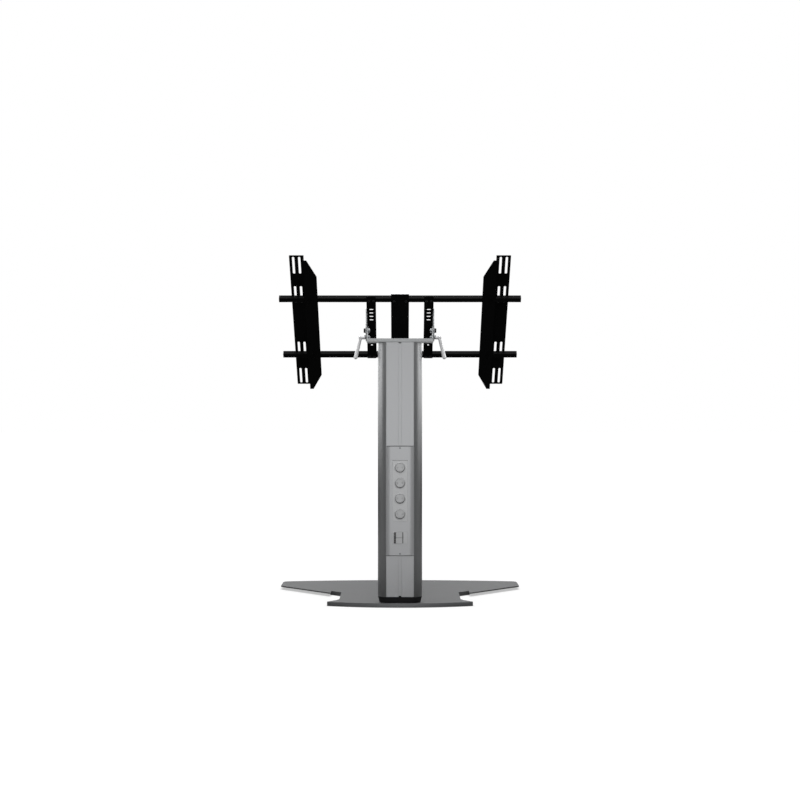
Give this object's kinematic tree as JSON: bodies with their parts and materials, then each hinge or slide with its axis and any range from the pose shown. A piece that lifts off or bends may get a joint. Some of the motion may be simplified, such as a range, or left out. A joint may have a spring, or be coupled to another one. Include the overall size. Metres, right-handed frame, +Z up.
{
  "type": "screen floor stand",
  "caption": "Floor stand for a large screen: bowed steel base, aluminium column with a power and data panel, and a tilting black frame with sliding slotted arms and clamping levers.",
  "frame": {"origin": "on the floor, under the column's axis", "axes": "+Z up, -Y the audience side, +X the left side seen from behind"},
  "size_m": [1.01, 0.8664, 1.3536],
  "materials": {
    "base_paint": "satin",
    "silver_paint": "satin",
    "black_powder": "matte",
    "anodised_aluminium": "satin",
    "zinc_steel": "satin",
    "lever_chrome": "satin",
    "grey_plastic": "satin",
    "black_plastic": "matte",
    "pad_rubber": "matte",
    "contact_brass": "satin"
  },
  "bodies": {
    "stand": {"base_plate": "base_paint", "base_pads": "pad_rubber", "backing_plate": "zinc_steel", "column_bolts": "zinc_steel", "column_profile": "anodised_aluminium", "column_foot": "black_plastic", "front_cover": "anodised_aluminium", "rear_cover_upper": "anodised_aluminium", "rear_cover_lower": "anodised_aluminium", "socket_panel": "anodised_aluminium", "panel_brackets": "zinc_steel", "panel_screws": "zinc_steel", "socket_fascia": "grey_plastic", "socket_insert_1": "grey_plastic", "socket_insert_2": "grey_plastic", "socket_insert_3": "grey_plastic", "socket_insert_4": "grey_plastic", "socket_contacts": "contact_brass", "earth_clips": "zinc_steel", "data_frame": "grey_plastic", "data_jack_upper": "grey_plastic", "data_jack_lower": "grey_plastic", "yoke": "silver_paint", "yoke_screws": "zinc_steel", "pivot_bolts": "black_powder", "pivot_washers": "black_powder", "pivot_nuts": "zinc_steel", "friction_discs": "black_plastic", "lever_nuts": "zinc_steel"},
    "head": {"rail_upper": "black_powder", "rail_lower": "black_powder", "rail_end_caps": "black_plastic", "upright_left": "black_powder", "upright_right": "black_powder", "tilt_cheek_left": "silver_paint", "tilt_cheek_right": "silver_paint", "spine_plate": "black_powder", "spine_cap": "anodised_aluminium", "frame_screws": "black_powder"},
    "arm_left": {"arm_left": "black_powder", "arm_clamp_screws_left": "black_powder"},
    "lever_left": {"lever_stud_left": "zinc_steel", "lever_screw_left": "zinc_steel", "lever_spring_left": "zinc_steel"},
    "handle_left": {"lever_handle_left": "lever_chrome"},
    "arm_right": {"arm_right": "black_powder", "arm_clamp_screws_right": "black_powder"},
    "lever_right": {"lever_stud_right": "zinc_steel", "lever_screw_right": "zinc_steel", "lever_spring_right": "zinc_steel"},
    "handle_right": {"lever_handle_right": "lever_chrome"}
  },
  "joints": [
    {"name": "head_tilt", "type": "hinge", "parent": "stand", "child": "head", "pos_m": [0, 0, 1.0755], "axis": [1, 0, 0], "range_deg": [-45, 45]},
    {"name": "arm_slide_left", "type": "slide", "parent": "head", "child": "arm_left", "axis": [1, 0, 0], "range_m": [-0.13, 0.048]},
    {"name": "lever_turn_left", "type": "hinge", "parent": "stand", "child": "lever_left", "pos_m": [0, 0, 1.0495], "axis": [1, 0, 0], "range_deg": [-90, 90]},
    {"name": "handle_pull_left", "type": "slide", "parent": "lever_left", "child": "handle_left", "axis": [1, 0, 0], "range_m": [0, 0.0045], "stiffness_N_per_m": 800, "springref_m": -0.004, "deforming": ["lever_spring_left"]},
    {"name": "arm_slide_right", "type": "slide", "parent": "head", "child": "arm_right", "axis": [-1, 0, 0], "range_m": [-0.13, 0.048]},
    {"name": "lever_turn_right", "type": "hinge", "parent": "stand", "child": "lever_right", "pos_m": [0, 0, 1.0495], "axis": [1, 0, 0], "range_deg": [-90, 90]},
    {"name": "handle_pull_right", "type": "slide", "parent": "lever_right", "child": "handle_right", "axis": [-1, 0, 0], "range_m": [0, 0.0045], "stiffness_N_per_m": 800, "springref_m": -0.004, "deforming": ["lever_spring_right"]}
  ]
}
